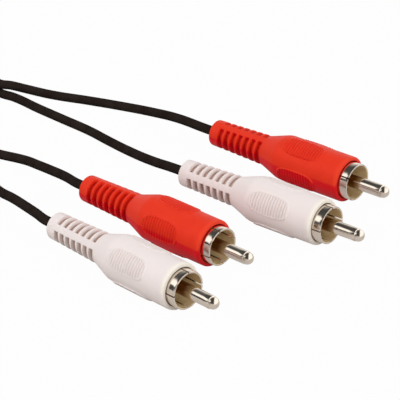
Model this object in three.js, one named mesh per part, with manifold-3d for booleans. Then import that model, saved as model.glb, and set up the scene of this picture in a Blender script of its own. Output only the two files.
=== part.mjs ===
// Stereo audio cable: two leads side by side, a red and a white moulded plug at each end.
// Millimetres, +Z up, the four plugs lie on the surface z = 0.
// A plug is built along +X: x = 0 is the end face of its strain relief and +X runs to the pin's nose.
import * as THREE from 'three';
import { mergeVertices } from 'three/addons/utils/BufferGeometryUtils.js';
import Module from 'manifold-3d';

const wasm = await Module();
wasm.setup();

// Lead
const leadDiameter = 2.4;
const leadSides = 8;
const leadStep = 6;
const meetingGap = 0.3;

// Overmould
const collarLength = 2.95;
const slotCount = 7;
const slotPitch = 2.01;
const slotWidth = 1.1;
const slotDepth = 1;
const lastLand = 0.7;
const spineWidth = 1.7;
const neckTailRadius = 3.34;
const neckFlareRadius = 3.88;
const tailChamfer = 0.35;
const flareLength = 5.6;
const flareRound = 0.7;
const shoulderRound = 1.3;
const barrelLength = 19.5;
const barrelRadius = 5.75;
const frontRound = 0.7;
const mouldSegments = 20;

// Grip pads on the barrel
const padCount = 4;
const padLength = 11.8;
const padWidth = 5.5;
const padRise = 0.3;
const padSetBack = 1.1;
const padSquareness = 0.8;
const padCorners = 16;
const ribCount = 14;
const ribPitch = 0.81;
const ribHeight = 0.2;

// Ground shell
const shellInside = 8.4;
const shellWall = 0.45;
const shellShows = 2.4;
const shellDepth = 7.6;
const rimSlope = 0.15;
const slitCount = 4;
const slitWidth = 0.35;
const slitLength = 5.2;
const flangeHole = 5.2;
const tabWidth = 2;
const tabLength = 5.5;
const tabHeight = 3.3;
const tabOverlap = 2.5;
const shellSegments = 20;

// Insulator, pin, inner mould
const insulatorThickness = 1.6;
const pinDiameter = 3.2;
const pinReach = 9.3;
const pinStep = 0.12;
const collarDiameter = 4.4;
const collarThickness = 0.6;
const cupDiameter = 2.5;
const cupLength = 3.6;
const cupBore = 1.3;
const cupDepth = 2.7;
const pinSegments = 14;
const innerMouldRadius = 4.2;
const innerMouldLength = 11.4;

// Stripped lead end
const jacketGrip = 1.4;
const coreDiameter = 1.2;
const wireDiameter = 0.7;
const screenDiameter = 0.8;
const innerSegments = 10;
const clearance = 0.25;

// Stations along a plug, from the end face of its strain relief
const neckEnd = collarLength + (slotCount - 1) * slotPitch + slotWidth + lastLand;
const shoulderAt = neckEnd + flareLength;
const faceAt = shoulderAt + barrelLength;
const rimAt = faceAt + shellShows;
const noseAt = rimAt + pinReach;
const insulatorFace = rimAt - shellDepth;
const insulatorBack = insulatorFace - insulatorThickness;
const flangeFace = insulatorBack - clearance;
const shellBack = flangeFace - shellWall;
const moulding = shellBack - meetingGap;
const pinCollarFace = moulding - meetingGap;
const pinCollarBack = pinCollarFace - collarThickness;
const cupBack = pinCollarBack - cupLength;
const innerMouldEnd = moulding - innerMouldLength;
const jacketEnd = innerMouldEnd + jacketGrip;
const coreStart = jacketEnd + meetingGap;
const coreEnd = cupBack - meetingGap;
const wireEnd = cupBack + cupDepth - meetingGap;
const shellRadius = shellInside / 2 + shellWall;
const axisHeight = barrelRadius + padRise;

const redVinyl = 0xe32f1e;
const whiteVinyl = 0xeee6e4;

// Where each plug lies: the end of its strain relief, its heading in degrees to the right of +X,
// the turn of its grips and the turn of its shell about its own axis
const plugs = [
  {
    name: 'red_plug_a', vinyl: redVinyl,
    tail: [-0.28, 42.68], heading: 39.5, gripTurn: 22, shellTurn: 56,
  },
  {
    name: 'white_plug_a', vinyl: whiteVinyl,
    tail: [-7.9, 19.9], heading: 38.95, gripTurn: 64, shellTurn: 88,
  },
  {
    name: 'red_plug_b', vinyl: redVinyl,
    tail: [-31.7, 11.5], heading: 43, gripTurn: -13, shellTurn: 12,
  },
  {
    name: 'white_plug_b', vinyl: whiteVinyl,
    tail: [-38.4, -7.9], heading: 45.1, gripTurn: 59, shellTurn: 88,
  },
];

// Routes of the leads from the plugs to the coil, each after its straight start in line with the plug
const routes = {
  red_lead_a: [
    [-9.8, 52.1, 5.4], [-16.7, 60.7, 3.2], [-23.6, 67, 1.7], [-34, 72.2, 1.2], [-44.4, 75.6, 1.4],
    [-51, 76.4, 2.7], [-55, 76.3, 3.8], [-58, 76.9, 4], [-61.6, 79.6, 5.3], [-65.4, 84, 7.8],
  ],
  white_lead_a: [
    [-16.1, 28.4, 4.9], [-22.8, 39.2, 2.6], [-28.1, 47.2, 1.5], [-33.2, 53.7, 1.2], [-40.2, 60.5, 1.2],
    [-47.2, 67.3, 1.2], [-54.2, 74.4, 1.2], [-58, 76.9, 1.3], [-61.6, 79.6, 2.6], [-65.4, 84, 5.1],
  ],
  red_lead_b: [
    [-37.3, 18.5, 5.5], [-41.4, 25, 4.1], [-45.1, 30.8, 2.7], [-48.6, 35.5, 1.7], [-55.4, 39.9, 1.2],
    [-63, 42.6, 1.9], [-71, 44.8, 3.4], [-77, 46, 4], [-82.5, 47.2, 4.1], [-90, 49.2, 4.4],
    [-93.6, 50.2, 4.6],
  ],
  white_lead_b: [
    [-43.4, -0.8, 5.4], [-46.5, 5.2, 4.3], [-50.2, 12.8, 2.6], [-53.8, 18.6, 1.5], [-57.5, 25.4, 1.2],
    [-62.5, 32.5, 1.2], [-68.5, 39.4, 1.2], [-75, 44.2, 1.2], [-82.5, 47.2, 1.4], [-90, 49.2, 1.7],
    [-93.6, 50.2, 1.9],
  ],
};
const straightStart = 4;

// Coil of the twin lead on edge, in two layers, held by a band
const coilCentre = [-98.5, 82.9];
const coilInside = 19;
const coilOutside = 31.5;
const coilHeight = 10.5;
const coilCorner = 1.2;
const coilSegments = 40;
const bandTurn = 150;
const bandWidth = 3;
const bandThickness = 0.5;
const bandTailLength = 8;
const bandTailWidth = 1.2;

const inDegrees = THREE.MathUtils.degToRad;

// Solids from geometries and back

function solidOf(geometry) {
  const bare = geometry.clone();
  bare.deleteAttribute('normal');
  bare.deleteAttribute('uv');
  const merged = mergeVertices(bare, 1e-5);
  const corners = merged.index.array;
  const kept = [];
  for (let i = 0; i < corners.length; i += 3) {
    const [a, b, c] = [corners[i], corners[i + 1], corners[i + 2]];
    if (a !== b && b !== c && c !== a) kept.push(a, b, c);
  }
  return new wasm.Manifold(new wasm.Mesh({
    numProp: 3,
    vertProperties: new Float32Array(merged.attributes.position.array),
    triVerts: new Uint32Array(kept),
  }));
}

function geometryOf(solid) {
  const mesh = solid.getMesh();
  const geometry = new THREE.BufferGeometry();
  geometry.setAttribute('position', new THREE.BufferAttribute(mesh.vertProperties, 3));
  geometry.setIndex(new THREE.BufferAttribute(mesh.triVerts, 1));
  geometry.computeVertexNormals();
  return geometry;
}

// A profile of [station, radius] pairs turned about the plug's axis
function turned(profile, segments) {
  const points = profile.map(([station, radius]) => new THREE.Vector2(radius, station));
  const lathe = new THREE.LatheGeometry(points, segments);
  lathe.rotateZ(-Math.PI / 2);
  return solidOf(lathe);
}

function rod(from, to, radius, segments) {
  return turned([[from, 0], [from, radius], [to, radius], [to, 0]], segments);
}

function block(from, to, width, low, high) {
  const box = new THREE.BoxGeometry(to - from, width, high - low);
  box.translate((from + to) / 2, 0, (low + high) / 2);
  return solidOf(box);
}

// A round tube of straight sides along points
function tubeAlong(points, radius, sides, steps) {
  const path = new THREE.CatmullRomCurve3(points, false, 'centripetal');
  const section = new THREE.Shape();
  for (let i = 0; i < sides; i += 1) {
    const angle = ((i + 0.5) / sides) * 2 * Math.PI;
    const corner = [radius * Math.cos(angle), radius * Math.sin(angle)];
    if (i === 0) section.moveTo(...corner);
    else section.lineTo(...corner);
  }
  section.closePath();
  const count = steps ?? Math.round(path.getLength() / leadStep);
  return new THREE.ExtrudeGeometry(section, { steps: count, extrudePath: path });
}

// Points of a rounded corner, which starts and ends at its reach from the corner
function rounded(before, corner, after, reach, count) {
  const [start, middle, end] = [before, corner, after].map((p) => new THREE.Vector2(...p));
  const from = middle.clone().lerp(start, reach / middle.distanceTo(start));
  const to = middle.clone().lerp(end, reach / middle.distanceTo(end));
  return new THREE.QuadraticBezierCurve(from, middle, to).getPoints(count).map((p) => [p.x, p.y]);
}

function neckRadiusAt(station) {
  return THREE.MathUtils.mapLinear(station, 0, neckEnd, neckTailRadius, neckFlareRadius);
}

// Overmould

function mouldBody() {
  const neck = [neckEnd, neckFlareRadius];
  const shoulder = [shoulderAt, barrelRadius];
  const tail = [tailChamfer, neckRadiusAt(tailChamfer)];
  const front = [faceAt, barrelRadius];
  const face = [faceAt, 0];
  return turned([
    [0, 0],
    [0, neckTailRadius - tailChamfer],
    tail,
    ...rounded(tail, neck, shoulder, flareRound, 1),
    ...rounded(neck, shoulder, front, shoulderRound, 2),
    ...rounded(shoulder, front, face, frontRound, 2),
    face,
  ], mouldSegments);
}

// Two rows of slots, which leave a spine along the top and the bottom
function slotRows() {
  const outside = neckFlareRadius + 1;
  let slots = null;
  for (let i = 0; i < slotCount; i += 1) {
    const from = collarLength + i * slotPitch;
    const to = from + slotWidth;
    const floor = neckRadiusAt(from) - slotDepth;
    const ring = turned([
      [from, floor], [from, outside], [to, outside], [to, floor], [from, floor],
    ], mouldSegments);
    slots = slots ? slots.add(ring) : ring;
  }
  return slots.subtract(block(0, neckEnd, spineWidth, -2 * outside, 2 * outside));
}

// A sleeve with fine ribs round it
function ribbedSleeve(start) {
  const crest = barrelRadius + padRise;
  const firstRib = start + (padLength - ribCount * ribPitch) / 2;
  const profile = [[start, 0], [start, crest], [firstRib, crest]];
  for (let i = 0; i < ribCount; i += 1) {
    const rib = firstRib + i * ribPitch;
    profile.push([rib + ribPitch / 2, crest - ribHeight], [rib + ribPitch, crest]);
  }
  profile.push([start + padLength, crest], [start + padLength, 0]);
  return turned(profile, mouldSegments);
}

// Oval pads that stand proud of the barrel, spaced round it
function gripPads() {
  const start = shoulderAt + padSetBack;
  let prisms = null;
  for (let i = 0; i < padCount / 2; i += 1) {
    const oval = new THREE.Shape(padOutline());
    const prism = new THREE.ExtrudeGeometry(oval, { depth: 4 * barrelRadius, bevelEnabled: false });
    prism.translate(start + padLength / 2, 0, -2 * barrelRadius);
    prism.rotateX((i * 2 * Math.PI) / padCount);
    prisms = prisms ? prisms.add(solidOf(prism)) : solidOf(prism);
  }
  return ribbedSleeve(start).intersect(prisms);
}

function padOutline() {
  const points = [];
  for (let i = 0; i < padCorners; i += 1) {
    const angle = (i / padCorners) * 2 * Math.PI;
    const along = Math.sign(Math.cos(angle)) * Math.abs(Math.cos(angle)) ** padSquareness;
    const across = Math.sign(Math.sin(angle)) * Math.abs(Math.sin(angle)) ** padSquareness;
    points.push(new THREE.Vector2((along * padLength) / 2, (across * padWidth) / 2));
  }
  return points;
}

function mouldCavity() {
  const leadBore = leadDiameter / 2 + clearance;
  const innerBore = innerMouldRadius + clearance;
  const shellBore = shellRadius + clearance;
  const pocket = innerMouldEnd - meetingGap;
  return turned([
    [-1, 0], [-1, leadBore], [pocket, leadBore], [pocket, innerBore], [moulding, innerBore],
    [moulding, shellBore], [faceAt + 1, shellBore], [faceAt + 1, 0],
  ], mouldSegments);
}

const overmould = geometryOf(mouldBody().add(gripPads()).subtract(slotRows()).subtract(mouldCavity()));

// Ground shell: a drawn cup with sprung petals, a back flange and a solder tab

function shellBody() {
  const inside = shellInside / 2;
  const hole = flangeHole / 2;
  const cup = turned([
    [shellBack, hole], [shellBack, shellRadius], [rimAt - rimSlope, shellRadius],
    [rimAt, shellRadius - rimSlope], [rimAt, inside], [flangeFace, inside], [flangeFace, hole],
    [shellBack, hole],
  ], shellSegments);
  const tab = block(shellBack - tabLength, flangeFace, tabWidth, -tabHeight - shellWall, -tabHeight);
  let shell = cup.add(tab);
  for (let i = 0; i < slitCount; i += 1) {
    const slit = new THREE.BoxGeometry(slitLength + 1, slitWidth, shellRadius);
    slit.translate(rimAt - slitLength + (slitLength + 1) / 2, 0, shellRadius);
    slit.rotateX((i * 2 * Math.PI) / slitCount);
    shell = shell.subtract(solidOf(slit));
  }
  return shell;
}

const shell = geometryOf(shellBody());

// Insulator: a disc in the shell with a hub through the flange

const insulator = geometryOf(turned([
  [moulding, pinDiameter / 2 + clearance],
  [moulding, flangeHole / 2 - clearance],
  [insulatorBack, flangeHole / 2 - clearance],
  [insulatorBack, shellInside / 2 - clearance],
  [insulatorFace, shellInside / 2 - clearance],
  [insulatorFace, pinDiameter / 2 + clearance],
  [moulding, pinDiameter / 2 + clearance],
], shellSegments));

// Centre pin: domed nose with a step behind it, collar and solder cup

function pinProfile() {
  const radius = pinDiameter / 2;
  const domeRadius = radius - pinStep;
  const domeStart = noseAt - domeRadius;
  const dome = [];
  for (let i = 1; i <= 3; i += 1) {
    const angle = (i / 3) * (Math.PI / 2);
    dome.push([domeStart + domeRadius * Math.sin(angle), domeRadius * Math.cos(angle)]);
  }
  dome[dome.length - 1][1] = 0;
  return [
    [cupBack + cupDepth, 0], [cupBack + cupDepth, cupBore / 2], [cupBack, cupBore / 2],
    [cupBack, cupDiameter / 2], [pinCollarBack, cupDiameter / 2], [pinCollarBack, collarDiameter / 2],
    [pinCollarFace, collarDiameter / 2], [pinCollarFace, radius], [domeStart - pinStep, radius],
    [domeStart, domeRadius], ...dome,
  ];
}

const pin = geometryOf(turned(pinProfile(), pinSegments));

// Stripped lead end: jacket in the strain relief, core to the pin, twisted screen to the tab

const jacket = geometryOf(rod(0, jacketEnd, leadDiameter / 2, innerSegments));

const core = geometryOf(turned([
  [coreStart, 0], [coreStart, coreDiameter / 2], [coreEnd, coreDiameter / 2], [coreEnd, wireDiameter / 2],
  [wireEnd, wireDiameter / 2], [wireEnd, 0],
], innerSegments));

function screenRun(radius) {
  const drop = tabHeight - screenDiameter / 2 - clearance;
  const beside = (coreDiameter + screenDiameter) / 2 + clearance;
  const tabBack = shellBack - tabLength;
  const points = [
    new THREE.Vector3(coreStart, 0, -beside),
    new THREE.Vector3((coreStart + tabBack) / 2, 0, -(beside + drop) / 2),
    new THREE.Vector3(tabBack + 0.5, 0, -drop),
    new THREE.Vector3(tabBack + tabOverlap, 0, -drop),
  ];
  return tubeAlong(points, radius, 6, 6);
}

const screen = screenRun(screenDiameter / 2);

// Inner mould over the joints, with room for the cup, the core, the screen and the tab

function innerMouldBody() {
  const bore = turned([
    [innerMouldEnd - 1, 0],
    [innerMouldEnd - 1, leadDiameter / 2 + clearance],
    [coreStart, leadDiameter / 2 + clearance],
    [coreStart, coreDiameter / 2 + clearance],
    [cupBack - meetingGap, coreDiameter / 2 + clearance],
    [cupBack - meetingGap, cupDiameter / 2 + clearance],
    [pinCollarBack - meetingGap, cupDiameter / 2 + clearance],
    [pinCollarBack - meetingGap, collarDiameter / 2 + clearance],
    [moulding + 1, collarDiameter / 2 + clearance],
    [moulding + 1, 0],
  ], innerSegments);
  const tabPocket = block(
    shellBack - tabLength - meetingGap, moulding + 1, tabWidth + 2 * clearance, -2 * innerMouldRadius,
    clearance - tabHeight,
  );
  return rod(innerMouldEnd, moulding, innerMouldRadius, innerSegments)
    .subtract(bore)
    .subtract(tabPocket)
    .subtract(solidOf(screenRun(screenDiameter / 2 + clearance)));
}

const innerMould = geometryOf(innerMouldBody());

// Assembly

function material(colour, roughness, metalness) {
  return new THREE.MeshStandardMaterial({ color: colour, roughness, metalness });
}

const nickel = [0xd8d4cc, 0.18, 1];
const blackVinyl = [0x1b1918, 0.45, 0];

function piece(name, geometry, finish) {
  const mesh = new THREE.Mesh(geometry, material(...finish));
  mesh.name = name;
  return mesh;
}

const cable = new THREE.Group();

for (const plug of plugs) {
  const grips = new THREE.Group();
  grips.add(piece(`${plug.name}_overmould`, overmould, [plug.vinyl, 0.42, 0]));
  grips.rotation.x = inDegrees(plug.gripTurn);
  const inner = new THREE.Group();
  inner.add(piece(`${plug.name}_shell`, shell, nickel));
  inner.add(piece(`${plug.name}_insulator`, insulator, [0x2a1c10, 0.5, 0]));
  inner.add(piece(`${plug.name}_pin`, pin, nickel));
  inner.add(piece(`${plug.name}_inner_mould`, innerMould, [0xd9d6cd, 0.6, 0]));
  inner.add(piece(`${plug.name}_jacket_end`, jacket, blackVinyl));
  inner.add(piece(`${plug.name}_core`, core, [plug.vinyl, 0.5, 0]));
  inner.add(piece(`${plug.name}_screen_wires`, screen, [0xb8733f, 0.35, 1]));
  inner.rotation.x = inDegrees(plug.shellTurn);
  const whole = new THREE.Group();
  whole.add(grips, inner);
  whole.position.set(...plug.tail, axisHeight);
  whole.rotation.z = -inDegrees(plug.heading);
  cable.add(whole);
}

function leadRoute(plug, route) {
  const heading = inDegrees(plug.heading);
  const behind = (distance) => new THREE.Vector3(
    plug.tail[0] - distance * Math.cos(heading), plug.tail[1] + distance * Math.sin(heading), axisHeight,
  );
  return [behind(meetingGap), behind(straightStart), ...route.map((p) => new THREE.Vector3(...p))];
}

for (const plug of plugs) {
  const name = plug.name.replace('plug', 'lead');
  const tube = tubeAlong(leadRoute(plug, routes[name]), leadDiameter / 2, leadSides);
  cable.add(piece(name, tube, blackVinyl));
}

// A ring of rounded section, wound round its centre
function coilRing() {
  const low = bandThickness + meetingGap;
  const high = low + coilHeight;
  const c = coilCorner;
  const section = [
    [coilInside + c, low], [coilOutside - c, low], [coilOutside, low + c], [coilOutside, high - c],
    [coilOutside - c, high], [coilInside + c, high], [coilInside, high - c], [coilInside, low + c],
    [coilInside + c, low],
  ];
  const ring = new THREE.LatheGeometry(section.map(([r, z]) => new THREE.Vector2(r, z)), coilSegments);
  ring.rotateX(Math.PI / 2);
  return geometryOf(solidOf(ring));
}

// A flat band round the bundle, its ends twisted together on top
function coilBand() {
  const inner = coilInside - meetingGap;
  const outer = coilOutside + meetingGap;
  const high = bandThickness + coilHeight + 2 * meetingGap;
  const t = bandThickness;
  const loop = new THREE.Shape([
    [inner - t, 0], [outer + t, 0], [outer + t, high + t], [inner - t, high + t],
  ].map(([x, y]) => new THREE.Vector2(x, y)));
  loop.holes.push(new THREE.Path([
    [inner, t], [inner, high], [outer, high], [outer, t],
  ].map(([x, y]) => new THREE.Vector2(x, y))));
  const band = new THREE.ExtrudeGeometry(loop, { depth: bandWidth, bevelEnabled: false });
  band.translate(0, 0, -bandWidth / 2);
  const tail = new THREE.BoxGeometry(bandTailWidth, bandTailWidth, bandTailLength);
  tail.translate((inner + outer) / 2, high + t + bandTailWidth / 2 - 0.1, bandTailLength / 2);
  const whole = geometryOf(solidOf(band).add(solidOf(tail)));
  whole.rotateX(Math.PI / 2);
  return whole;
}

const coil = new THREE.Group();
coil.position.set(...coilCentre, 0);
const band = piece('coil_band', coilBand(), [0x161616, 0.5, 0]);
band.rotation.z = inDegrees(bandTurn);
coil.add(piece('coil', coilRing(), blackVinyl), band);
cable.add(coil);

export default cable;
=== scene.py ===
import math

import bpy
import numpy as np
from mathutils import Matrix, Vector


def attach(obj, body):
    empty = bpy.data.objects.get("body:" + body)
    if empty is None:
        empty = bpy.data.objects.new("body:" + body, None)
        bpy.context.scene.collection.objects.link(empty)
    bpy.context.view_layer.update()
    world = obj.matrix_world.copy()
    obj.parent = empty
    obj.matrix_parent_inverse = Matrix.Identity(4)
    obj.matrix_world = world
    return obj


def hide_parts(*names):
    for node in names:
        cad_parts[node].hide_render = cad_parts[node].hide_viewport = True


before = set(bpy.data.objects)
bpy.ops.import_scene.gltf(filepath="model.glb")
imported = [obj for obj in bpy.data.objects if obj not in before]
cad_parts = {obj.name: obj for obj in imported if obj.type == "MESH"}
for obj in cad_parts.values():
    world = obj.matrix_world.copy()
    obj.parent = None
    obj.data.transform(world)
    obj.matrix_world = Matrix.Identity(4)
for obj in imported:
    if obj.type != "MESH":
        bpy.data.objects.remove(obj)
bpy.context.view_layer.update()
mm = 0.001
print("frame loaded:", len(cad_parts), "nodes")

bpy.context.scene.view_settings.view_transform = "Standard"

camera = {
    "lens": 220.5,
    "sensor": 36.0,
    "target": (-0.0045, 0.0169, 0.0),
    "distance": 0.6034,
    "elevation": 27.31,   # degrees above the floor
    "clip": (0.05, 20.0),
}


def addCamera(c):
    data = bpy.data.cameras.new("camera")
    data.lens = c["lens"]
    data.sensor_width = c["sensor"]
    data.clip_start, data.clip_end = c["clip"]
    obj = bpy.data.objects.new("camera", data)
    bpy.context.scene.collection.objects.link(obj)
    tilt = math.radians(c["elevation"])
    back = Vector((0.0, -math.cos(tilt), math.sin(tilt)))
    obj.location = Vector(c["target"]) + back * c["distance"]
    obj.rotation_euler = (math.pi / 2 - tilt, 0.0, 0.0)
    bpy.context.scene.camera = obj


addCamera(camera)
print("camera placed")


# tail = end of the strain relief, heading = degrees clockwise from +X seen from above,
# gripTurn and shellTurn = degrees about the plug's own axis
plugs = [
    {"name": "red_plug_a", "colour": "red", "tail": (-0.00028, 0.04268), "heading": 39.5,
     "gripTurn": 22, "shellTurn": 56},
    {"name": "white_plug_a", "colour": "white", "tail": (-0.0079, 0.0199), "heading": 38.95,
     "gripTurn": 64, "shellTurn": 88},
    {"name": "red_plug_b", "colour": "red", "tail": (-0.0317, 0.0115), "heading": 43.0,
     "gripTurn": -13, "shellTurn": 12},
    {"name": "white_plug_b", "colour": "white", "tail": (-0.0384, -0.0079), "heading": 45.1,
     "gripTurn": 59, "shellTurn": 88},
]
axisHeight = 0.00605


def plugMatrix(plug, turn):
    place = Matrix.Translation((*plug["tail"], axisHeight))
    head = Matrix.Rotation(-math.radians(plug["heading"]), 4, "Z")
    return place @ head @ Matrix.Rotation(math.radians(turn), 4, "X")


# two channels, each one lead from its plug at end A through the coil to its plug at end B
lead = {
    "diameter": 0.0024,
    "length": {"red": 1.40, "white": 1.41},
    "straight": (-0.0006, 0.0015, 0.004),   # places behind the plug's tail, the first one inside it
    "twinPitch": 0.0027,                    # red lies above white where the two are joined
}

coil = {
    "centre": (-0.0985, 0.0829),
    "outer": 0.0303,
    "inner": 0.0203,
    "startAt": 20.0,        # degrees from +X where end A's side comes in
    "upperTurns": 3.6528,   # with the lower turns, this leads end B's side out at 255 degrees
    "lowerTurns": 4.0,
    "crossing": 0.3,        # turns that the way down takes
    "perTurn": 16,
    "whiteLow": 0.00205,
    "whiteHigh": 0.0073,
}

# points from the plug to the coil, after the straight start
leadRoutes = {
    "red_plug_a": [
        (-0.0098, 0.0521, 0.0054), (-0.0167, 0.0607, 0.0032), (-0.0236, 0.0670, 0.0017),
        (-0.0340, 0.0722, 0.0012), (-0.0444, 0.0756, 0.0014), (-0.0510, 0.0764, 0.0027),
        (-0.0550, 0.0763, 0.0038), (-0.0580, 0.0769, 0.0040), (-0.0616, 0.0796, 0.0053),
        (-0.0654, 0.0840, 0.0078),
    ],
    "white_plug_a": [
        (-0.0161, 0.0284, 0.0049), (-0.0228, 0.0392, 0.0026), (-0.0281, 0.0472, 0.0015),
        (-0.0332, 0.0537, 0.0012), (-0.0402, 0.0605, 0.0012), (-0.0472, 0.0673, 0.0012),
        (-0.0542, 0.0744, 0.0012), (-0.0580, 0.0769, 0.0013), (-0.0616, 0.0796, 0.0026),
        (-0.0654, 0.0840, 0.0051),
    ],
    "red_plug_b": [
        (-0.0373, 0.0185, 0.0055), (-0.0414, 0.0250, 0.0041), (-0.0451, 0.0308, 0.0027),
        (-0.0486, 0.0355, 0.0017), (-0.0554, 0.0399, 0.0012), (-0.0630, 0.0426, 0.0019),
        (-0.0710, 0.0448, 0.0034), (-0.0770, 0.0460, 0.0040), (-0.0825, 0.0472, 0.0041),
        (-0.0900, 0.0492, 0.0044), (-0.0936, 0.0502, 0.0046),
    ],
    "white_plug_b": [
        (-0.0434, -0.0008, 0.0054), (-0.0465, 0.0052, 0.0043), (-0.0502, 0.0128, 0.0026),
        (-0.0538, 0.0186, 0.0015), (-0.0575, 0.0254, 0.0012), (-0.0625, 0.0325, 0.0012),
        (-0.0685, 0.0394, 0.0012), (-0.0750, 0.0442, 0.0012), (-0.0825, 0.0472, 0.0014),
        (-0.0900, 0.0492, 0.0017), (-0.0936, 0.0502, 0.0019),
    ],
}
joinedFrom = {"a": 7, "b": 8}   # first route point where the two leads are joined


def ease(x, low, high):
    # 0 below low, 1 above high, smooth between them
    t = np.clip((x - low) / (high - low), 0, 1)
    return t * t * (3 - 2 * t)


def coilPoints(c, lift):
    # from end A: in through the upper layer, down at the inside, out through the lower one
    turns = c["upperTurns"] + c["lowerTurns"]
    count = round(turns * c["perTurn"])
    points = []
    for i in range(count + 1):
        turned = turns * i / count
        angle = math.radians(c["startAt"] + 360 * turned)
        lower = turned - c["upperTurns"]
        if lower < 0:
            radius = c["outer"] + (c["inner"] - c["outer"]) * turned / c["upperTurns"]
        else:
            radius = c["inner"] + (c["outer"] - c["inner"]) * lower / c["lowerTurns"]
        down = float(ease(lower, -c["crossing"] / 2, c["crossing"] / 2))
        points.append((
            c["centre"][0] + radius * math.cos(angle),
            c["centre"][1] + radius * math.sin(angle),
            c["whiteHigh"] + (c["whiteLow"] - c["whiteHigh"]) * down + lift,
        ))
    return points


def leadStart(plug):
    heading = math.radians(plug["heading"])
    x, y = plug["tail"]
    return [(x - d * math.cos(heading), y + d * math.sin(heading), axisHeight) for d in lead["straight"]]


def channelPoints(colour):
    ends = {p["name"][-1]: p for p in plugs if p["colour"] == colour}
    lift = lead["twinPitch"] if colour == "red" else 0.0
    first = leadStart(ends["a"]) + leadRoutes[ends["a"]["name"]]
    last = leadStart(ends["b"]) + leadRoutes[ends["b"]["name"]]
    return first + coilPoints(coil, lift) + last[::-1]


def addCurve(name, points, radius):
    data = bpy.data.curves.new(name, "CURVE")
    data.dimensions = "3D"
    data.bevel_depth = 1.0   # each point's own radius then gives the size
    data.bevel_resolution = 4
    data.resolution_u = 6
    data.use_fill_caps = True
    spline = data.splines.new("BEZIER")
    spline.bezier_points.add(len(points) - 1)
    for point, place in zip(spline.bezier_points, points):
        point.co = place
        point.radius = radius
        point.handle_left_type = point.handle_right_type = "AUTO"
    obj = bpy.data.objects.new(name, data)
    bpy.context.scene.collection.objects.link(obj)
    return obj


channels = {}
for colour in ("red", "white"):
    points = channelPoints(colour)
    obj = addCurve(colour + "_channel_lead", points, lead["diameter"] / 2)
    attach(obj, "root")
    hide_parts(colour + "_lead_a", colour + "_lead_b")
    channels[colour] = obj
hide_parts("coil")
print("leads laid")


def addMesh(name, vertices, faces, sharpAngle=35.0, materialOf=None):
    mesh = bpy.data.meshes.new(name)
    mesh.from_pydata([tuple(v) for v in vertices], [], faces)
    mesh.update()
    mesh.shade_smooth()
    mesh.set_sharp_from_angle(angle=math.radians(sharpAngle))
    if materialOf is not None:
        mesh.polygons.foreach_set("material_index", materialOf)
    obj = bpy.data.objects.new(name, mesh)
    bpy.context.scene.collection.objects.link(obj)
    return obj


def ringGrid(stations, radii, angles):
    # one ring of points per station, with one radius for the ring or one for each of its points;
    # angle 0 is the top, and angles go towards -Y
    s = np.repeat(np.asarray(stations)[:, None], len(angles), 1)
    r = np.asarray(radii).reshape(len(s), -1) + np.zeros_like(s)
    return np.stack([s, -r * np.sin(angles), r * np.cos(angles)], -1)


def gridFaces(rows, columns):
    return [
        (i * columns + j, i * columns + (j + 1) % columns,
         (i + 1) * columns + (j + 1) % columns, (i + 1) * columns + j)
        for i in range(rows - 1) for j in range(columns)
    ]


def turnedMesh(name, profile, segments, sharpAngle=35.0):
    # a profile of (station, radius) turned about X: a closed loop, or a line between two points on the axis
    angles = np.linspace(0, 2 * math.pi, segments, endpoint=False)
    turned = [p for p in profile if p[1] > 0]
    vertices = list(ringGrid(*zip(*turned), angles).reshape(-1, 3))
    faces = gridFaces(len(turned), segments)
    last = (len(turned) - 1) * segments
    if profile[0] == profile[-1]:
        vertices = vertices[:last]
        faces = [tuple(v % last for v in face) for face in faces]
    else:
        for tip, ring in ((profile[0], 0), (profile[-1], last)):
            vertices.append((tip[0], 0.0, 0.0))
            for j in range(segments):
                edge = (ring + j, ring + (j + 1) % segments)
                faces.append((*(edge if ring else edge[::-1]), len(vertices) - 1))
    return addMesh(name, np.asarray(vertices) * mm, faces, sharpAngle)


def roundedCorner(before, corner, after, reach, count):
    # points of a soft corner that begins and ends at reach from the sharp one
    before, corner, after = (np.asarray(p, float) for p in (before, corner, after))
    a = corner + (before - corner) * reach / np.linalg.norm(before - corner)
    b = corner + (after - corner) * reach / np.linalg.norm(after - corner)
    return [a * (1 - t) ** 2 + corner * 2 * t * (1 - t) + b * t ** 2 for t in np.linspace(0, 1, count)]


def softLine(points, reaches):
    # straight runs whose corners are rounded, each by its own reach
    line = [points[0]]
    for before, corner, after, reach in zip(points, points[1:], points[2:], reaches):
        line += [tuple(p) for p in roundedCorner(before, corner, after, reach, 6)]
    return line + [points[-1]]


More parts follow.
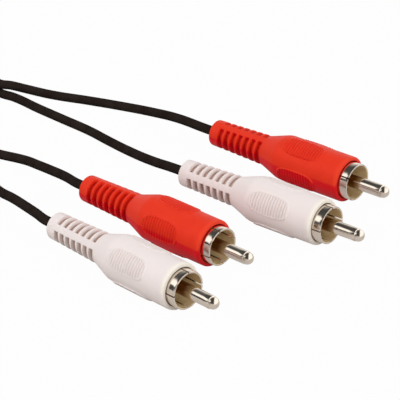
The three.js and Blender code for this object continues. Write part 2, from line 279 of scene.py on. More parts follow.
# overmould: barrel, flare and slotted strain relief in one, in mm from its tail
mould = {
    "outline": [(0.0, 1.2), (0.0, 3.34), (16.81, 3.88), (22.41, 5.75), (41.91, 5.75), (41.91, 4.92)],
    "rounding": [0.4, 0.5, 0.8, 0.7],
    # from the front: round the shell, round the inner mould, round the lead
    "cavity": [(41.76, 4.79), (41.2, 4.79), (34.11, 4.79), (34.11, 4.45), (22.41, 4.45), (22.41, 1.32),
               (0.3, 1.32)],
    "holeBevel": 0.15,
    "slots": 7,
    "firstSlot": 2.9,
    "slotPitch": 2.06,
    "slotWidth": 1.1,
    "slotDepth": 1.0,
    "slotSoft": (0.14, 0.38),   # how far a slot's tail wall and its front wall lean
    "slotShadeFade": 0.75,           # share of its painted shade that a slot loses towards the front
    "spineWidth": 1.7,
    "pads": 4,
    "padStart": 23.51,
    "padLength": 11.8,
    "padWidth": 5.5,
    "padRise": 0.3,
    "padSquare": 3.4,           # 2 is an ellipse, more is squarer
    "padEdge": 0.2,
    "ribs": 14,
    "ribPitch": 0.81,
    "ribDepth": 0.28,
    "ribSlim": 0.7,             # under 1 makes the ribs narrower than the valleys
    "lip": (0.9, 0.54),         # behind the front edge: where the lip's painted glow begins and where it is full
    "lipRings": 3,              # rings from the front edge inwards that keep the lip's painted glow
    "lipHold": 0.02,            # a ring this far outside the front edge keeps it crisp
    "overPad": (-31.5, 31.5, 43),   # degrees from a pad's middle: first, last, number of points
    "besidePad": (35.5, 54.5, 6),
    "flareStep": 0.4,
    "frontStep": 0.8,
    "wallRings": 7,
    "edgeRings": 4,
    "ribRings": 8,
    "leastStep": 0.004,
    "sharpAngle": 50.0,
}


def mouldAngles(m):
    # fine across the pads, coarser between them
    quarter = np.radians(np.concatenate([np.linspace(*m["overPad"]), np.linspace(*m["besidePad"])]))
    return np.concatenate([quarter + k * 2 * math.pi / m["pads"] for k in range(m["pads"])])


def ribStart(m):
    return m["padStart"] + (m["padLength"] - m["ribs"] * m["ribPitch"]) / 2


def mouldStations(m):
    # close together where the outline changes
    neckEnd, shoulder, front = m["outline"][2][0], m["outline"][3][0], m["outline"][-1][0]
    padEnd = m["padStart"] + m["padLength"]
    stations = [p[0] for p in softLine(m["outline"], m["rounding"])]
    stations += list(np.arange(neckEnd, shoulder + 1, m["flareStep"]))
    stations += list(np.arange(padEnd + m["frontStep"] / 2, front - m["frontStep"], m["frontStep"]))
    for k in range(m["slots"]):
        begin = m["firstSlot"] + k * m["slotPitch"]
        for edge, soft in zip((begin, begin + m["slotWidth"]), m["slotSoft"]):
            stations += list(edge + soft * np.linspace(-1, 1, m["wallRings"]))
        stations += [begin + m["slotWidth"] / 2, begin + (m["slotWidth"] + m["slotPitch"]) / 2]
    for edge, inward in ((m["padStart"], 1), (padEnd, -1)):
        stations += list(edge + inward * m["padEdge"] * np.linspace(0, 1, m["edgeRings"]))
    stations += list(ribStart(m) + np.arange(m["ribs"] * m["ribRings"] + 1) * m["ribPitch"] / m["ribRings"])
    stations = np.array(sorted(s for s in stations if 0.0 < s < front))
    return stations[np.concatenate([[True], np.diff(stations) > m["leastStep"]])]


def mouldSurface(m, stations, angles):
    line = softLine(m["outline"], m["rounding"])
    body = np.interp(stations, [p[0] for p in line], [p[1] for p in line])[:, None]
    s = stations[:, None]

    # slots, which stop at the spines along the top and the bottom
    softTail, softFront = m["slotSoft"]
    slot = np.zeros_like(s)
    shaded = np.zeros_like(s)   # painted shade in the slots, darkest at the tail side of each slot
    for k in range(m["slots"]):
        begin = m["firstSlot"] + k * m["slotPitch"]
        end = begin + m["slotWidth"]
        opened = ease(s, begin - softTail, begin + softTail)
        here = opened * (1 - ease(s, end - softFront, end + softFront))
        across = np.clip((s - begin) / m["slotWidth"], 0, 1)
        slot = np.maximum(slot, here)
        shaded = np.maximum(shaded, here * (1 - m["slotShadeFade"] * across))
    fromSpine = np.abs((angles[None, :] + math.pi / 2) % math.pi - math.pi / 2)
    spineWall = (m["spineWidth"] / 2) / np.maximum(np.sin(fromSpine), 1e-6)
    bottom = np.clip(spineWall, body - m["slotDepth"], body)
    radius = body + (bottom - body) * slot
    # the slots' painted shade, deepest on the slot floor and at its tail side
    recess = (body - radius) / m["slotDepth"] * shaded

    # oval pads with ribs
    spacing = 2 * math.pi / m["pads"]
    fromPad = (angles[None, :] + spacing / 2) % spacing - spacing / 2
    along = np.abs(s - m["padStart"] - m["padLength"] / 2) / (m["padLength"] / 2)
    aside = np.abs(fromPad) * body / (m["padWidth"] / 2)
    reach = (along ** m["padSquare"] + aside ** m["padSquare"]) ** (1 / m["padSquare"])
    inward = (1 - reach) * m["padWidth"] / 2
    rib = (s - ribStart(m)) / m["ribPitch"]
    valley = (0.5 - 0.5 * np.cos(2 * math.pi * rib)) ** m["ribSlim"] * (rib > 0) * (rib < m["ribs"])
    valley = valley * ease(inward, m["padEdge"] * 0.5, m["padEdge"] * 2.0)
    radius = radius + ease(inward, 0.0, m["padEdge"]) * m["padRise"] - valley * m["ribDepth"]
    return radius, recess, valley


def overmouldMesh(m):
    angles = mouldAngles(m)
    stations = mouldStations(m)
    radius, recess, valley = mouldSurface(m, stations, angles)
    columns = len(angles)
    front, lipRadius = m["outline"][-1]
    tailRings = [(0.0, m["cavity"][-1][1] + m["holeBevel"]), (0.0, m["outline"][1][1] - m["rounding"][0])]
    frontRings = [(front, lipRadius + m["lipHold"]), (front, lipRadius)] + m["cavity"] + [tailRings[0]]
    tailRadii, frontRadii = [
        np.repeat(np.array(rings)[:, 1:], columns, 1) for rings in (tailRings, frontRings)]
    radii = np.vstack([tailRadii, radius, frontRadii])
    places = [p[0] for p in tailRings] + list(stations) + [p[0] for p in frontRings]
    last = (len(places) - 1) * columns   # the last ring is the first one again
    vertices = ringGrid(places, radii, angles).reshape(-1, 3)[:last]
    faces = [tuple(v % last for v in face) for face in gridFaces(len(places), columns)]
    obj = addMesh("overmould", vertices * mm, faces, m["sharpAngle"])

    # what the material's colours go by: painted shade in the slots and the cavity, the rib valleys, and a
    # painted glow at the lip
    first = len(tailRings) * columns
    frontEdge = first + recess.size
    cavity = frontEdge + m["lipRings"] * columns
    lip = np.repeat(ease(stations, front - m["lip"][0], front - m["lip"][1])[:, None], columns, 1)
    for name, values, onLip, inCavity in (
            ("recess", recess, 0.0, 0.0),
            ("valley", valley, 0.0, 0.0),
            ("lip", lip, 1.0, 0.0),
            ("inside", np.zeros_like(recess), 0.0, 1.0)):
        shade = np.zeros(last, np.float32)
        shade[first:frontEdge] = values.ravel()
        shade[frontEdge:cavity] = onLip
        shade[cavity:] = inCavity
        obj.data.attributes.new(name, "FLOAT", "POINT").data.foreach_set("value", shade)
    return obj


# ground shell: thin cup with slits from its mouth, in mm from the overmould's tail
shell = {
    "back": 34.41,
    "backEdge": [(0.0, -0.3), (0.08, -0.1), (0.3, 0.0)],   # (station, radius) from the sharp edge
    "mouth": 44.31,
    "outside": 4.65,
    "wall": 0.45,
    "rim": 0.13,
    "rimInside": 0.06,
    "slits": 4,
    "slitWidth": 0.35,
    "slitLength": 5.2,
    "bottomHole": 2.6,
    "acrossQuarter": 36,
    "sharpAngle": 30.0,
}


def shellMesh(cup):
    slitStart = cup["mouth"] - cup["slitLength"]
    halfSlit = cup["slitWidth"] / 2 / cup["outside"]
    quarter = 2 * math.pi / cup["slits"]
    angles, isSlit = [], []
    for k in range(cup["slits"]):
        first, last = k * quarter + halfSlit, (k + 1) * quarter - halfSlit
        solid = np.linspace(first, last, cup["acrossQuarter"])[:-1]
        angles += [k * quarter - halfSlit, *solid]
        isSlit += [True] + [False] * len(solid)
    angles = np.array(angles)

    r, w, rim = cup["outside"], cup["wall"], cup["rim"]
    outer = [(cup["back"] + s, r + change) for s, change in cup["backEdge"]]
    outer += [(s, r) for s in np.linspace(cup["back"] + 1, slitStart, 4)]
    outer += [(s, r) for s in np.linspace(slitStart, cup["mouth"] - rim, 8)[1:]]
    outer += [(cup["mouth"] - rim * 0.3, r - rim * 0.3), (cup["mouth"], r - rim)]
    inner = [(cup["back"] + w + k * 0.02, r - w) for k in range(3)]
    inner += [(s, r - w) for s, _ in outer[3:-2]]
    inner += [(cup["mouth"] - cup["rimInside"], r - w), (cup["mouth"], r - w + cup["rimInside"])]
    hole = [(cup["back"], cup["bottomHole"]), (cup["back"] + w, cup["bottomHole"])]
    vertices = ringGrid(*zip(*outer, *inner, *hole), angles).reshape(-1, 3)
    rows, columns = len(outer), len(angles)
    shift = rows * columns   # from a point on the outside to the one inside of it

    def isOpen(i, j):
        return isSlit[j % columns] and outer[i][0] >= slitStart - 1e-6

    faces, finish = [], []   # finish 0 is the outside, 1 the inside

    def joinSides(p, q):
        faces.append((p, q, shift + q, shift + p))
        finish.append(0)

    for i in range(rows - 1):
        for j in range(columns):
            if isOpen(i, j):
                continue
            a, b = i * columns + j, i * columns + (j + 1) % columns
            c, d = b + columns, a + columns
            faces += [(a, b, c, d), (shift + d, shift + c, shift + b, shift + a)]
            finish += [0, 1]
            if isOpen(i, j + 1):
                joinSides(c, b)
            if isOpen(i, j - 1):
                joinSides(a, d)
            if i + 1 < rows - 1 and isOpen(i + 1, j):
                joinSides(d, c)
    last = (rows - 1) * columns
    for j in range(columns):
        if not isOpen(rows - 2, j):
            joinSides(last + j, last + (j + 1) % columns)

    # the cup's bottom, pierced for the pin
    behind, before = 2 * shift, 2 * shift + columns
    for j in range(columns):
        k = (j + 1) % columns
        faces += [(behind + j, behind + k, k, j),
                  (shift + j, shift + k, before + k, before + j),
                  (before + j, before + k, behind + k, behind + j)]
        finish += [0, 1, 0]
    return addMesh("shell", vertices * mm, faces, cup["sharpAngle"], finish)


# insulator: disc with a raised hub round the pin; its edges are (station, radius) from the sharp ones
insulator = {
    "back": 35.11,
    "front": 36.71,
    "radius": 4.17,
    "frontEdge": [(-0.15, 0.0), (-0.04, -0.05), (0.0, -0.18)],
    "hub": 2.35,
    "hubRise": 0.35,
    "hubFoot": [(0.0, 0.35), (0.06, 0.15)],
    "hubEdge": [(-0.08, 0.0), (0.0, -0.1)],
    "hole": 1.62,
    "bevel": 0.1,
    "segments": 48,
}


def insulatorMesh(c):
    back, face, top = c["back"], c["front"], c["front"] + c["hubRise"]
    hole, bevel = c["hole"], c["bevel"]
    profile = [(back, hole), (back, c["radius"] - bevel), (back + bevel, c["radius"])]
    profile += [(face + s, c["radius"] + change) for s, change in c["frontEdge"]]
    profile += [(face + s, c["hub"] + change) for s, change in c["hubFoot"]]
    profile += [(top + s, c["hub"] + change) for s, change in c["hubEdge"]]
    profile += [(top, hole + bevel), (top - bevel, hole), (back, hole)]
    return turnedMesh("insulator", profile, c["segments"])


# centre pin: the groove parts its shaft from the slightly slimmer ball of its nose
pin = {
    "start": 33.3,
    "nose": 53.61,
    "radius": 1.6,
    "ballStep": 0.12,
    "grooveWidth": 0.2,
    "groove": [(-0.12, 0.09), (0.0, -0.05), (0.08, -0.03)],   # (station, radius over the ball's)
    "shaftRings": 12,
    "ballRings": 16,
    "segments": 96,
    "sharpAngle": 25.0,
}


def pinMesh(c):
    ball = c["radius"] - c["ballStep"]
    ballStart = c["nose"] - ball
    groove = ballStart - c["grooveWidth"]
    profile = [(c["start"], 0.0), (c["start"], c["radius"])]
    for s in np.linspace(c["start"] + 0.5, groove - c["grooveWidth"], c["shaftRings"]):
        profile.append((s, c["radius"]))
    profile += [(groove + s, ball + change) for s, change in c["groove"]]
    for t in np.linspace(0, math.pi / 2, c["ballRings"], endpoint=False):
        profile.append((ballStart + ball * math.sin(t), ball * math.cos(t)))
    profile.append((c["nose"], 0.0))
    return turnedMesh("pin", profile, c["segments"], c["sharpAngle"])


# web between the two joined leads
web = {"thickness": 0.0006, "height": 0.0014}


def curveLine(points, steps=6):
    # the same rounded line that the leads follow
    p = [np.asarray(q, float) for q in points]
    p = [2 * p[0] - p[1]] + p + [2 * p[-1] - p[-2]]
    line = []
    for a, b, c, d in zip(p, p[1:], p[2:], p[3:]):
        before, here, after = (np.linalg.norm(v) for v in (b - a, c - b, d - c))
        leave = (c - a) / (before + here) * here
        arrive = (d - b) / (here + after) * here
        for t in np.linspace(0, 1, steps, endpoint=False):
            t2, t3 = t * t, t * t * t
            line.append(b * (2 * t3 - 3 * t2 + 1) + leave * (t3 - 2 * t2 + t)
                        + c * (3 * t2 - 2 * t3) + arrive * (t3 - t2))
    return line + [p[-2]]


def webMesh(w):
    first = leadRoutes["white_plug_a"][joinedFrom["a"]:]
    last = leadRoutes["white_plug_b"][joinedFrom["b"]:]
    line = curveLine(first + coilPoints(coil, 0.0) + last[::-1])
    line = [p + np.array((0.0, 0.0, lead["twinPitch"] / 2)) for p in line]
    up = np.array((0.0, 0.0, w["height"] / 2))
    vertices, faces = [], []
    for i, p in enumerate(line):
        ahead = line[min(i + 1, len(line) - 1)] - line[max(i - 1, 0)]
        side = np.array((-ahead[1], ahead[0], 0.0))
        side = side / np.linalg.norm(side) * w["thickness"] / 2
        vertices += [p - side - up, p + side - up, p + side + up, p - side + up]
        if i:
            a = 4 * (i - 1)
            faces += [(a + k, a + (k + 1) % 4, a + 4 + (k + 1) % 4, a + 4 + k) for k in range(4)]
    end = len(vertices) - 4
    faces += [(3, 2, 1, 0), (end, end + 1, end + 2, end + 3)]
    return addMesh("lead_web", vertices, faces)


# tie round the coil: a flat band with a wire in it, and its two twisted ends
tie = {
    "turn": 150.0,   # degrees from +X round the coil
    "inner": 0.0187,
    "outer": 0.0318,
    "top": 0.0116,
    "thickness": 0.0005,
    "width": 0.003,
    "corner": 0.002,
    "cornerPoints": 7,
    "endLength": 0.008,
    "endWidth": 0.0012,
    "endThin": 0.8,      # share of the band's thickness
    "endApart": 0.55,    # the same, from the ends' common axis
    "endTwists": 2.5,
    "endPoints": 40,
    "sharpAngle": 60.0,
}


def ribbonMesh(points, width, thickness, closed, turnOf):
    # each point is (place, across, out); turnOf gives the turn at a share of the length
    half, level = width / 2, thickness / 2
    wireFoot, wireTop = width * 0.18, width * 0.08
    section = [(-half, -level), (half, -level), (half, level), (wireFoot, level), (wireTop, thickness * 0.9),
               (-wireTop, thickness * 0.9), (-wireFoot, level), (-half, level)]
    n, m = len(points), len(section)
    vertices, faces = [], []
    for i, (place, across, out) in enumerate(points):
        turn = turnOf(i / (n - 1))
        for a, b in section:
            u = a * math.cos(turn) - b * math.sin(turn)
            v = a * math.sin(turn) + b * math.cos(turn)
            vertices.append(place + across * u + out * v)
    for i in range(n if closed else n - 1):
        j = (i + 1) % n
        faces += [(i * m + k, j * m + k, j * m + (k + 1) % m, i * m + (k + 1) % m) for k in range(m)]
    if not closed:
        faces += [tuple(range(m)), tuple(reversed(range((n - 1) * m, n * m)))]
    return vertices, faces


def tieMesh(t):
    turn = math.radians(t["turn"])
    radial = np.array((math.cos(turn), math.sin(turn), 0.0))
    across = np.array((-math.sin(turn), math.cos(turn), 0.0))
    up = np.array((0.0, 0.0, 1.0))
    centre = np.array((*coil["centre"], 0.0))

    h = t["thickness"] / 2
    inner, outer, top = t["inner"] - h, t["outer"] + h, t["top"] + h
    corners = [(inner, h), (outer, h), (outer, top), (inner, top)]
    ring = []
    for k, corner in enumerate(corners):
        ring += roundedCorner(corners[k - 1], corner, corners[(k + 1) % 4], t["corner"], t["cornerPoints"])
    middle = ((t["inner"] + t["outer"]) / 2, t["top"] / 2 + h)
    loop = []
    for k, (r, z) in enumerate(ring):
        ahead = ring[(k + 1) % len(ring)] - ring[k - 1]
        out = np.array((ahead[1], -ahead[0])) / np.linalg.norm(ahead)
        if np.dot(out, np.array((r, z)) - middle) < 0:
            out = -out
        loop.append((centre + radial * r + up * z, across, radial * out[0] + up * out[1]))
    vertices, faces = ribbonMesh(loop, t["width"], t["thickness"], True, lambda x: 0.0)

    start = centre + radial * middle[0] + up * (t["top"] + t["thickness"] + t["endWidth"] / 2)
    twist = 2 * math.pi * t["endTwists"]
    for phase in (0.0, math.pi):
        run = []
        for x in np.linspace(0, 1, t["endPoints"]):
            swing = twist * x + phase
            off = (radial * math.cos(swing) + up * math.sin(swing)) * t["thickness"] * t["endApart"]
            run.append((start - across * x * t["endLength"] + off, radial, up))
        more, sides = ribbonMesh(run, t["endWidth"], t["thickness"] * t["endThin"], False,
                                 lambda x, p=phase: twist * x + p + math.pi / 2)
        faces += [tuple(k + len(vertices) for k in face) for face in sides]
        vertices += more
    return addMesh("coil_tie", vertices, faces, t["sharpAngle"])


class Wire:
    # one output socket: maths on it adds Math nodes
    def __init__(self, net, socket):
        self.net = net
        self.socket = socket

    def maths(self, operation, first, second):
        return self.net.node("ShaderNodeMath", {"operation": operation}, {0: first, 1: second})

    def __add__(self, other):
        return self.maths("ADD", self, other)

    def __sub__(self, other):
        return self.maths("SUBTRACT", self, other)

    def __mul__(self, other):
        return self.maths("MULTIPLY", self, other)

    def __rsub__(self, other):
        return self.maths("SUBTRACT", other, self)

    __radd__ = __add__
    __rmul__ = __mul__


class Net:
    # the nodes of one material or world
    def __init__(self, owner):
        owner.use_nodes = True
        self.tree = owner.node_tree
        self.tree.nodes.clear()

    def node(self, kind, settings=None, sockets=None, out=0):
        made = self.tree.nodes.new(kind)
        for key, value in (settings or {}).items():
            if key == "stops":
                ramp = made.color_ramp
                while len(ramp.elements) < len(value):
                    ramp.elements.new(1.0)
                for element, (place, colour) in zip(ramp.elements, value):
                    element.position = place
                    element.color = colour
            else:
                setattr(made, key, value)
        for key, value in (sockets or {}).items():
            if isinstance(value, Wire):
                self.tree.links.new(value.socket, made.inputs[key])
            else:
                made.inputs[key].default_value = value
        return Wire(self, made.outputs[out]) if len(made.outputs) else None

    def place(self):
        return self.node("ShaderNodeTexCoord", out="Object")

    def noise(self, where, scale, detail=3.0, roughness=0.5):
        return self.node("ShaderNodeTexNoise", {}, {
            "Vector": where, "Scale": scale, "Detail": detail, "Roughness": roughness})

    def stretch(self, where, amounts):
        return self.node("ShaderNodeVectorMath", {"operation": "MULTIPLY"}, {0: where, 1: amounts})

    def axis(self, vector, name):
        return self.node("ShaderNodeSeparateXYZ", {}, {0: vector}, out=name)

    def blend(self, share, first, second):
        return self.node("ShaderNodeMix", {"data_type": "RGBA"}, {0: share, 6: first, 7: second}, out=2)

    def between(self, value, low, high):
        return self.node("ShaderNodeMapRange", {"interpolation_type": "SMOOTHSTEP"}, {
            "Value": value, "From Min": low, "From Max": high, "To Min": 0.0, "To Max": 1.0})

    def bump(self, height, strength, distance):
        return self.node("ShaderNodeBump", {}, {
            "Height": height, "Strength": strength, "Distance": distance})


def newMaterial(name):
    material = bpy.data.materials.new(name)
    return material, Net(material)


def finished(net, sockets):
    shader = net.node("ShaderNodeBsdfPrincipled", {}, sockets)
    net.node("ShaderNodeOutputMaterial", {}, {"Surface": shader})


mouldFinish = {
    "red": {
        "lit": (0.785, 0.037, 0.012, 1),
        # deep is a darker tone: it comes in at random as cloud, and as painted shade in the rib valleys
        "deep": (0.66, 0.016, 0.007, 1),
        # painted shade in the slots
        "slot": (0.52, 0.003, 0.004, 1),
        # painted glow at the thin front lip
        "lip": (0.84, 0.050, 0.018, 1),
        # painted shade on the underside
        "underShade": (0.72, 0.001, 0.010, 1),
        "valleyShadeShare": 0.45,
        "slotShadeShare": 0.8,
        "underShadeShare": 0.9,
    },
    "white": {
        "lit": (0.835, 0.755, 0.735, 1),
        # deep is a darker tone: it comes in at random as cloud, and as painted shade in the rib valleys
        "deep": (0.75, 0.665, 0.64, 1),
        # painted shade in the slots
        "slot": (0.40, 0.22, 0.14, 1),
        # painted glow at the thin front lip
        "lip": (0.91, 0.85, 0.75, 1),
        # painted shade on the underside
        "underShade": (0.79, 0.71, 0.685, 1),
        "valleyShadeShare": 0.8,
        "slotShadeShare": 0.85,
        "underShadeShare": 0.5,
    },
    # painted shade: the cavity inside the overmould is drawn near black
    "inside": (0.030, 0.014, 0.008, 1),
    "underShadeFrom": (-0.02, 0.10),   # height of the normal between which the underside's painted shade gives way
    "cloudScale": 260.0,
    "cloudBetween": (0.35, 0.75),
    "cloudShare": 0.2,
    "cloudRoughness": 0.05,
    "grainScale": 3200.0,
    "grainRoughness": 0.10,
    "grainBump": 0.07,
    "grainHeight": 0.00003,
    "roughness": 0.44,
    "shine": 0.18,
}


def mouldMaterial(name, colour, f):
    c = f[colour]
    material, net = newMaterial(name)
    where = net.place()
    recess, valley, lip, inside = [
        net.node("ShaderNodeAttribute", {"attribute_name": attribute}, out="Fac")
        for attribute in ("recess", "valley", "lip", "inside")]
    facing = net.axis(net.node("ShaderNodeNewGeometry", out="Normal"), "Z")
    cloud = net.between(net.noise(where, f["cloudScale"], 2.0), *f["cloudBetween"])
    grain = net.noise(where, f["grainScale"], 2.0, 0.6)
    # the deep colour comes in at random as cloud, and as painted shade in the rib valleys
    base = net.blend(cloud * f["cloudShare"] + valley * c["valleyShadeShare"], c["lit"], c["deep"])
    # painted glow at the thin front lip
    base = net.blend(lip, base, c["lip"])
    # painted shade on the underside, where the normal points down
    base = net.blend((1 - net.between(facing, *f["underShadeFrom"])) * c["underShadeShare"], base, c["underShade"])
    # painted shade in the slots
    base = net.blend(recess * c["slotShadeShare"], base, c["slot"])
    # painted shade in the cavity
    base = net.blend(inside, base, f["inside"])
    finished(net, {
        "Base Color": base,
        "Roughness": f["roughness"] + (grain - 0.5) * f["grainRoughness"] + cloud * f["cloudRoughness"],
        "Specular IOR Level": f["shine"],
        "Normal": net.bump(grain, f["grainBump"], f["grainHeight"]),
    })
    return material


plating = {
    "bright": (0.80, 0.71, 0.62, 1),
    "stained": (0.36, 0.27, 0.19, 1),
    "stain": 0.5,
    "roughness": 0.09,
    "metallic": 1.0,
    "shine": 0.5,
}
# painted shade and painted dark reflection: the pin is browner towards its root, between two places along
# the plug in metres
pinPlating = {**plating, "root": (0.26, 0.12, 0.040, 1), "rootShadeBetween": (0.0438, 0.0466)}
shellLining = {
    "bright": (1.0, 0.80, 0.47, 1),
    "stained": (0.74, 0.53, 0.26, 1),
    "stain": 0.6,
    "roughness": 0.42,
    "metallic": 0.1,
    "shine": 0.3,
}
plateGrain = {
    "drawn": (60.0, 900.0, 900.0),   # long streaks along the plug
    "drawnScale": 4.0,
    "drawnRoughness": 0.06,
    "drawnBump": 0.02,
    "drawnHeight": 0.00002,
    "spotScale": 700.0,
    "spotBetween": (0.56, 0.72),
    "spotRoughness": 0.15,
}


def plateMaterial(name, c, g):
    material, net = newMaterial(name)
    where = net.place()
    drawn = net.noise(net.stretch(where, g["drawn"]), g["drawnScale"], 4.0)
    spots = net.between(net.noise(where, g["spotScale"], 4.0, 0.6), *g["spotBetween"]) * c["stain"]
    colour = net.blend(spots, c["bright"], c["stained"])
    if "root" in c:
        # painted shade and painted dark reflection towards the pin's root
        colour = net.blend(net.between(net.axis(where, "X"), *c["rootShadeBetween"]), c["root"], colour)
    finished(net, {
        "Base Color": colour,
        "Metallic": c["metallic"],
        "Specular IOR Level": c["shine"],
        "Roughness": c["roughness"] + drawn * g["drawnRoughness"] + spots * g["spotRoughness"],
        "Normal": net.bump(drawn, g["drawnBump"], g["drawnHeight"]),
    })
    return material


# scale = how fine the cloudy change from dark to light is
plainFinish = {
    "insulator": {"dark": (0.060, 0.032, 0.012, 1), "light": (0.110, 0.062, 0.024, 1), "scale": 400.0,
                  "roughness": 0.45},
    "leadJacket": {"dark": (0.018, 0.0125, 0.0105, 1), "light": (0.025, 0.0185, 0.016, 1), "scale": 350.0,
                   "roughness": 0.48, "shine": 0.0},
    "innerMould": {"dark": (0.62, 0.59, 0.54, 1), "light": (0.72, 0.70, 0.65, 1), "scale": 300.0,
                   "roughness": 0.6},
    "redCore": {"dark": (0.60, 0.02, 0.01, 1), "light": (0.72, 0.03, 0.02, 1), "scale": 300.0,
                "roughness": 0.45},
    "whiteCore": {"dark": (0.74, 0.71, 0.67, 1), "light": (0.82, 0.80, 0.77, 1), "scale": 300.0,
                  "roughness": 0.45},
    "copper": {"dark": (0.50, 0.20, 0.09, 1), "light": (0.72, 0.33, 0.17, 1), "scale": 900.0,
               "roughness": 0.3, "metallic": 1.0},
    "tie": {"dark": (0.010, 0.010, 0.010, 1), "light": (0.018, 0.018, 0.018, 1), "scale": 500.0,
            "roughness": 0.5},
}
plainGrain = {"finer": 12, "roughness": 0.12, "bump": 0.1, "height": 0.00003}


def plainMaterial(name, c, g):
    material, net = newMaterial(name)
    where = net.place()
    cloud = net.between(net.noise(where, c["scale"]), 0.3, 0.7)
    grain = net.noise(where, c["scale"] * g["finer"], 2.0)
    finished(net, {
        "Base Color": net.blend(cloud, c["dark"], c["light"]),
        "Metallic": c.get("metallic", 0.0),
        "Roughness": c["roughness"] + (grain - 0.5) * g["roughness"],
        "Specular IOR Level": c.get("shine", 0.5),
        "Normal": net.bump(grain, g["bump"], g["height"]),
    })
    return material


materials = {
    "redMould": mouldMaterial("redVinyl", "red", mouldFinish),
    "whiteMould": mouldMaterial("whiteVinyl", "white", mouldFinish),
    "nickel": plateMaterial("nickel", plating, plateGrain),
    "pinNickel": plateMaterial("pinNickel", pinPlating, plateGrain),
    "shellInside": plateMaterial("shellInside", shellLining, plateGrain),
}
for name, look in plainFinish.items():
    materials[name] = plainMaterial(name, look, plainGrain)
print("materials made:", len(materials))


def give(obj, *names):
    if len(obj.data.materials):
        obj.data.materials.clear()   # this also sets every face back to the first material
    for name in names:
        obj.data.materials.append(materials[name])


for obj in channels.values():
    give(obj, "leadJacket")

joined = webMesh(web)
give(joined, "leadJacket")
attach(joined, "root")

tied = tieMesh(tie)
give(tied, "tie")
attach(tied, "root")
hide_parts("coil_band")
print("web and tie made")


# one set of meshes, laid out four times
patterns = {
    "overmould": overmouldMesh(mould),
    "shell": shellMesh(shell),
    "insulator": insulatorMesh(insulator),
    "pin": pinMesh(pin),
}
give(patterns["shell"], "nickel", "shellInside")
give(patterns["insulator"], "insulator")
give(patterns["pin"], "pinNickel")

for plug in plugs:
    for part, pattern in patterns.items():
        obj = bpy.data.objects.new(plug["name"] + "_" + part + "_fine", pattern.data.copy())
        bpy.context.scene.collection.objects.link(obj)
        obj.matrix_world = plugMatrix(plug, plug["gripTurn" if part == "overmould" else "shellTurn"])
        if part == "overmould":
            give(obj, plug["colour"] + "Mould")
        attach(obj, "root")
        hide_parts(plug["name"] + "_" + part)
    give(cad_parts[plug["name"] + "_inner_mould"], "innerMould")
    give(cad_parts[plug["name"] + "_jacket_end"], "leadJacket")
    give(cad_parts[plug["name"] + "_core"], plug["colour"] + "Core")
    give(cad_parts[plug["name"] + "_screen_wires"], "copper")
for pattern in patterns.values():
    bpy.data.objects.remove(pattern)
print("plugs laid out:", len(plugs))


studio = {
    "floorSize": 6.0,
    "floorColour": (0.56, 0.53, 0.51, 1),
    "floorSeen": 0.975,      # share of plain white that the camera sees, the rest keeps the shadows
    "floorMirrored": 0.25,   # the same in reflections
    "ambient": 0.52,
    "mirroredStrength": 1.35,
    "mirroredBlue": 0.98,    # blue's share of the reflected white
    # brightness of the reflected studio, from the horizon up to straight overhead
    "mirroredLeft": [(0.0, 0.06), (0.35, 0.04), (0.42, 1.0), (0.71, 1.0), (0.79, 0.07), (1.0, 0.05)],
    "mirroredBack": [(0.0, 0.85), (0.30, 0.75), (0.50, 0.42), (0.67, 0.18), (0.80, 0.05), (1.0, 0.05)],
    "mirroredFront": [(0.0, 0.60), (0.20, 0.20), (0.40, 0.05), (1.0, 0.05)],
    "backFrom": (0.10, 0.32),     # along Y, where the left panel gives way to the back
    "frontFrom": (0.25, 0.45),    # the same towards the camera
    "rightFrom": (0.20, 0.45),    # along X, where the bright side begins
}

lamps = [
    {"name": "key", "place": (-0.85, -0.40, 0.72), "size": 0.6, "power": 6.2},
    {"name": "fill", "place": (0.75, -0.75, 0.55), "size": 0.5, "power": 5.0},
    {"name": "back", "place": (0.25, 0.9, 0.75), "size": 0.5, "power": 1.9},
]


def rayShares(net):
    # camera rays, and reflected or transmitted ones
    seen, glossy, through = [net.node("ShaderNodeLightPath", out=name) for name in (
        "Is Camera Ray", "Is Glossy Ray", "Is Transmission Ray")]
    return seen, net.node("ShaderNodeMath", {"operation": "MAXIMUM"}, {0: glossy, 1: through})


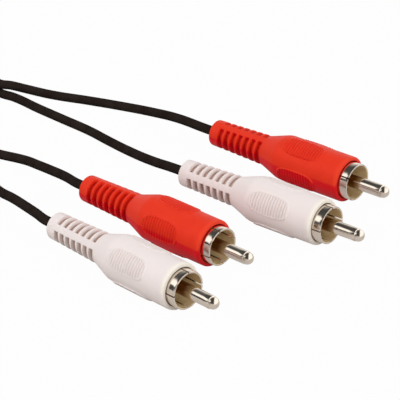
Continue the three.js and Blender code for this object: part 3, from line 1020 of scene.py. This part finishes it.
def addFloor(c):
    h = c["floorSize"] / 2
    obj = addMesh("floor", [(-h, -h, 0), (h, -h, 0), (h, h, 0), (-h, h, 0)], [(0, 1, 2, 3)])
    material, net = newMaterial("floor")
    seen, mirrored = rayShares(net)
    lit = net.node("ShaderNodeBsdfDiffuse", {}, {"Color": c["floorColour"]})
    white = net.node("ShaderNodeEmission", {}, {"Color": (1, 1, 1, 1), "Strength": 1.0})
    share = seen * c["floorSeen"] + mirrored * c["floorMirrored"]
    mixed = net.node("ShaderNodeMixShader", {}, {0: share, 1: lit, 2: white})
    net.node("ShaderNodeOutputMaterial", {}, {"Surface": mixed})
    obj.data.materials.append(material)


def addWorld(c):
    world = bpy.data.worlds.new("studio")
    bpy.context.scene.world = world
    net = Net(world)
    seen, mirrored = rayShares(net)
    direction = net.node("ShaderNodeTexCoord", out="Generated")
    x, y, z = [net.axis(direction, name) for name in "XYZ"]
    left, back, front = [
        net.node("ShaderNodeValToRGB", {"stops": [
            (place, (level, level, level * c["mirroredBlue"], 1)) for place, level in c["mirrored" + side]
        ]}, {0: z}, out="Color") for side in ("Left", "Back", "Front")]
    panels = net.blend(net.between(y, *c["backFrom"]), left, back)
    panels = net.blend(net.between(0 - y, *c["frontFrom"]), panels, front)
    panels = net.blend(net.between(x, *c["rightFrom"]), panels, (1, 1, c["mirroredBlue"], 1))
    around = net.node("ShaderNodeBackground", {}, {"Color": (1, 1, 1, 1), "Strength": c["ambient"]})
    gloss = net.node("ShaderNodeBackground", {}, {"Color": panels, "Strength": c["mirroredStrength"]})
    white = net.node("ShaderNodeBackground", {}, {"Color": (1, 1, 1, 1), "Strength": 1.0})
    lit = net.node("ShaderNodeMixShader", {}, {0: mirrored, 1: around, 2: gloss})
    mixed = net.node("ShaderNodeMixShader", {}, {0: seen, 1: lit, 2: white})
    net.node("ShaderNodeOutputWorld", {}, {"Surface": mixed})


def addLamp(c):
    data = bpy.data.lights.new(c["name"], "AREA")
    data.shape = "DISK"
    data.size = c["size"]
    data.energy = c["power"]
    obj = bpy.data.objects.new(c["name"], data)
    bpy.context.scene.collection.objects.link(obj)
    obj.visible_glossy = False   # reflections show the world's panels instead
    obj.location = c["place"]
    obj.rotation_euler = (Vector(c["place"]) * -1).to_track_quat("-Z", "Y").to_euler()


addFloor(studio)
addWorld(studio)
for lamp in lamps:
    addLamp(lamp)
print("studio set up")
